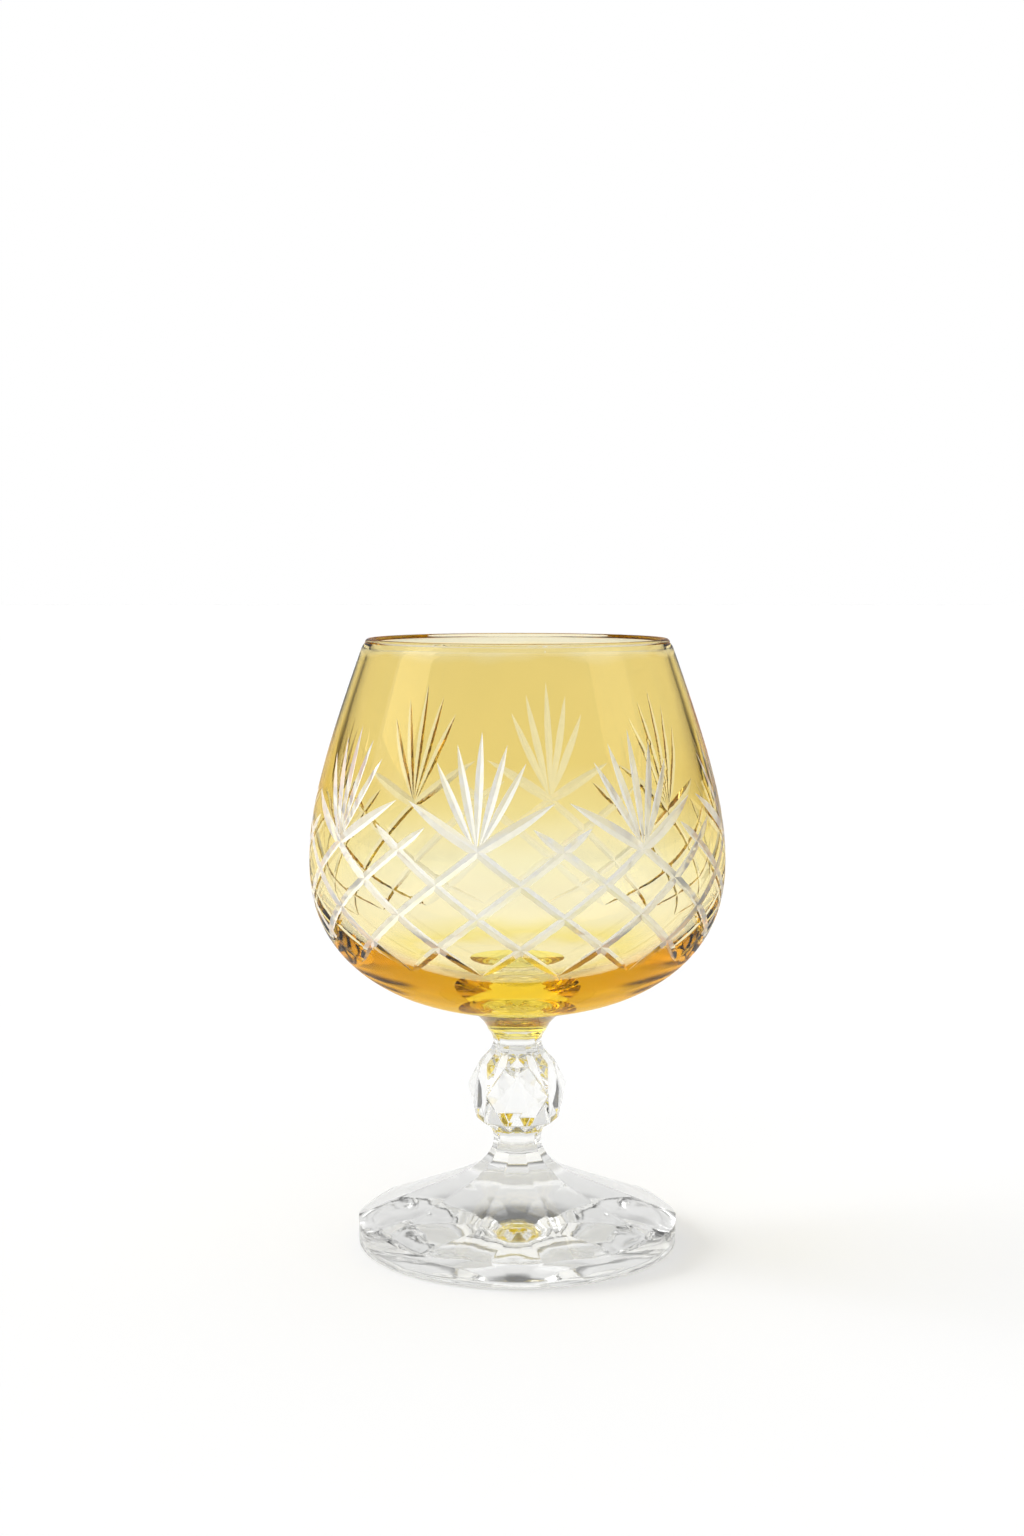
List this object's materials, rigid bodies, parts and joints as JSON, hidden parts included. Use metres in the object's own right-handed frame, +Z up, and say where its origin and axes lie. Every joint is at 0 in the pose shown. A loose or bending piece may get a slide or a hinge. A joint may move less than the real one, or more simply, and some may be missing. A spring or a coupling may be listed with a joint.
{
  "type": "brandy snifter",
  "caption": "Short-stemmed balloon drinking glass in cut crystal: amber bowl with wheel-cut fans and diamonds on a clear stem with a faceted knop and a panelled round foot.",
  "frame": {"origin": "centre of the standing ring, on the surface the glass stands on", "axes": "+Z up along the glass's axis, -Y towards the viewer, with a stem panel and a broad knop facet facing -Y"},
  "size_m": [0.085, 0.0849, 0.125],
  "materials": {
    "clear_crystal": "fire-polished clear pressed crystal",
    "amber_crystal": "clear crystal stained amber outside, wheel-cut and polished through the stain"
  },
  "bodies": {
    "root": {"foot": "clear_crystal", "lower_neck": "clear_crystal", "knop": "clear_crystal", "upper_neck": "clear_crystal", "merese": "clear_crystal", "bowl": "amber_crystal"}
  },
  "joints": []
}
